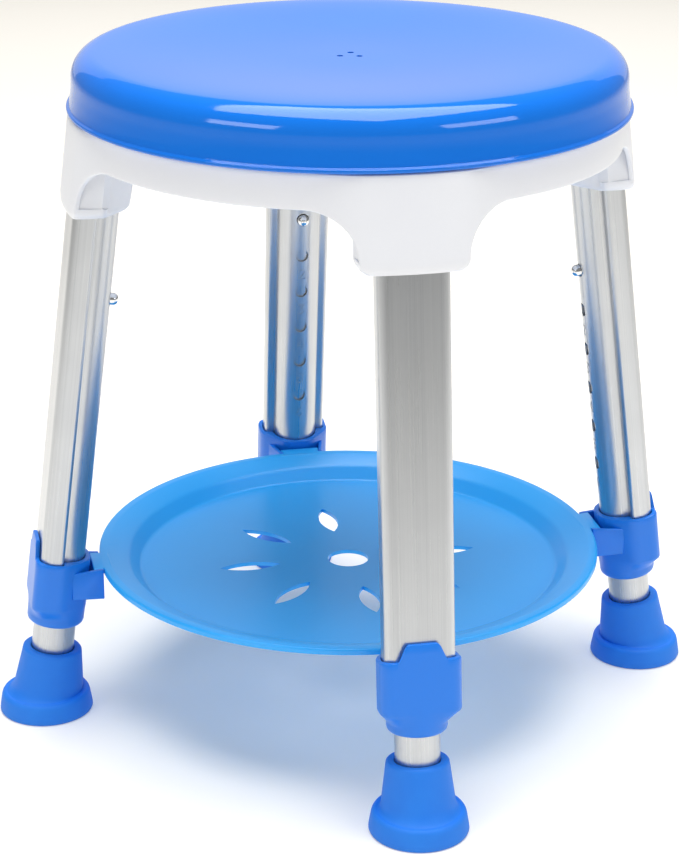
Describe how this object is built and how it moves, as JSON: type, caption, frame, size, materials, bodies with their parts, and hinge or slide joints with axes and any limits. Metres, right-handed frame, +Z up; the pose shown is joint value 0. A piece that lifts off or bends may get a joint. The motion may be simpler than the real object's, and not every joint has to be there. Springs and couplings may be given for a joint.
{
  "type": "shower stool",
  "caption": "Round swivel shower stool with a white base, splayed height-adjustable aluminium legs with snap buttons, flared rubber feet and a removable drained tray between the legs.",
  "frame": {"origin": "on the floor, under the middle of the seat", "axes": "+Z up, -Y the front, between the two front legs"},
  "size_m": [0.3248, 0.3248, 0.4003],
  "materials": {
    "seat_plastic": "glossy moulded plastic",
    "base_plastic": "satin white moulded plastic",
    "blue_plastic": "satin blue moulded plastic",
    "foot_rubber": "matt rubber",
    "satin_aluminium": "satin anodised extrusion",
    "zinc_steel": "zinc plated",
    "bright_chrome": "polished",
    "spring_steel": "tempered strip",
    "nylon": "natural moulded nylon"
  },
  "bodies": {
    "base": {"base_frame": "base_plastic", "turntable_lower_race": "zinc_steel", "lower_race_screw_1": "zinc_steel", "lower_race_screw_2": "zinc_steel", "lower_race_screw_3": "zinc_steel", "outer_tube_front_right": "satin_aluminium", "end_plug_front_right": "nylon", "leg_screw_front_right": "zinc_steel", "collar_front_right": "blue_plastic", "outer_tube_rear_right": "satin_aluminium", "end_plug_rear_right": "nylon", "leg_screw_rear_right": "zinc_steel", "collar_rear_right": "blue_plastic", "outer_tube_rear_left": "satin_aluminium", "end_plug_rear_left": "nylon", "leg_screw_rear_left": "zinc_steel", "collar_rear_left": "blue_plastic", "outer_tube_front_left": "satin_aluminium", "end_plug_front_left": "nylon", "leg_screw_front_left": "zinc_steel", "collar_front_left": "blue_plastic"},
    "seat": {"seat_shell": "seat_plastic", "turntable_upper_race": "zinc_steel", "upper_race_screw_1": "zinc_steel", "upper_race_screw_2": "zinc_steel", "upper_race_screw_3": "zinc_steel", "pivot_bolt": "zinc_steel", "pivot_washer": "zinc_steel", "pivot_nut": "zinc_steel"},
    "bearing": {"ball_cage": "nylon", "bearing_ball_1": "bright_chrome", "bearing_ball_2": "bright_chrome", "bearing_ball_3": "bright_chrome", "bearing_ball_4": "bright_chrome", "bearing_ball_5": "bright_chrome", "bearing_ball_6": "bright_chrome", "bearing_ball_7": "bright_chrome", "bearing_ball_8": "bright_chrome"},
    "shelf": {"tray": "blue_plastic"},
    "leg_front_right": {"inner_tube_front_right": "satin_aluminium", "v_spring_front_right": "spring_steel", "foot_front_right": "foot_rubber", "foot_washer_front_right": "zinc_steel"},
    "button_front_right": {"snap_button_front_right": "bright_chrome"},
    "leg_rear_right": {"inner_tube_rear_right": "satin_aluminium", "v_spring_rear_right": "spring_steel", "foot_rear_right": "foot_rubber", "foot_washer_rear_right": "zinc_steel"},
    "button_rear_right": {"snap_button_rear_right": "bright_chrome"},
    "leg_rear_left": {"inner_tube_rear_left": "satin_aluminium", "v_spring_rear_left": "spring_steel", "foot_rear_left": "foot_rubber", "foot_washer_rear_left": "zinc_steel"},
    "button_rear_left": {"snap_button_rear_left": "bright_chrome"},
    "leg_front_left": {"inner_tube_front_left": "satin_aluminium", "v_spring_front_left": "spring_steel", "foot_front_left": "foot_rubber", "foot_washer_front_left": "zinc_steel"},
    "button_front_left": {"snap_button_front_left": "bright_chrome"}
  },
  "joints": [
    {"name": "seat_swivel", "type": "hinge", "parent": "base", "child": "seat", "pos_m": [0, 0, 0.38], "axis": [0, 0, 1], "continuous": true},
    {"name": "bearing_roll", "type": "hinge", "parent": "base", "child": "bearing", "pos_m": [0, 0, 0.3785], "axis": [0, 0, 1], "continuous": true},
    {"name": "tray_lift", "type": "slide", "parent": "base", "child": "shelf", "axis": [0, 0, 1], "range_m": [0, 0.03]},
    {"name": "height_front_right", "type": "slide", "parent": "base", "child": "leg_front_right", "axis": [0.0896, -0.0896, -0.9919], "range_m": [0, 0.127], "deforming": ["v_spring_front_right", "snap_button_front_right"]},
    {"name": "press_front_right", "type": "slide", "parent": "leg_front_right", "child": "button_front_right", "axis": [0.7014, -0.7014, 0.1267], "range_m": [0, 0.006], "stiffness_N_per_m": 1500, "deforming": ["v_spring_front_right"]},
    {"name": "height_rear_right", "type": "slide", "parent": "base", "child": "leg_rear_right", "axis": [0.0896, 0.0896, -0.9919], "range_m": [0, 0.127], "deforming": ["v_spring_rear_right", "snap_button_rear_right"]},
    {"name": "press_rear_right", "type": "slide", "parent": "leg_rear_right", "child": "button_rear_right", "axis": [0.7014, 0.7014, 0.1267], "range_m": [0, 0.006], "stiffness_N_per_m": 1500, "deforming": ["v_spring_rear_right"]},
    {"name": "height_rear_left", "type": "slide", "parent": "base", "child": "leg_rear_left", "axis": [-0.0896, 0.0896, -0.9919], "range_m": [0, 0.127], "deforming": ["v_spring_rear_left", "snap_button_rear_left"]},
    {"name": "press_rear_left", "type": "slide", "parent": "leg_rear_left", "child": "button_rear_left", "axis": [-0.7014, 0.7014, 0.1267], "range_m": [0, 0.006], "stiffness_N_per_m": 1500, "deforming": ["v_spring_rear_left"]},
    {"name": "height_front_left", "type": "slide", "parent": "base", "child": "leg_front_left", "axis": [-0.0896, -0.0896, -0.9919], "range_m": [0, 0.127], "deforming": ["v_spring_front_left", "snap_button_front_left"]},
    {"name": "press_front_left", "type": "slide", "parent": "leg_front_left", "child": "button_front_left", "axis": [-0.7014, -0.7014, 0.1267], "range_m": [0, 0.006], "stiffness_N_per_m": 1500, "deforming": ["v_spring_front_left"]}
  ],
  "couplings": [
    {"joint": "bearing_roll", "follows": "seat_swivel", "ratio": 0.5}
  ]
}
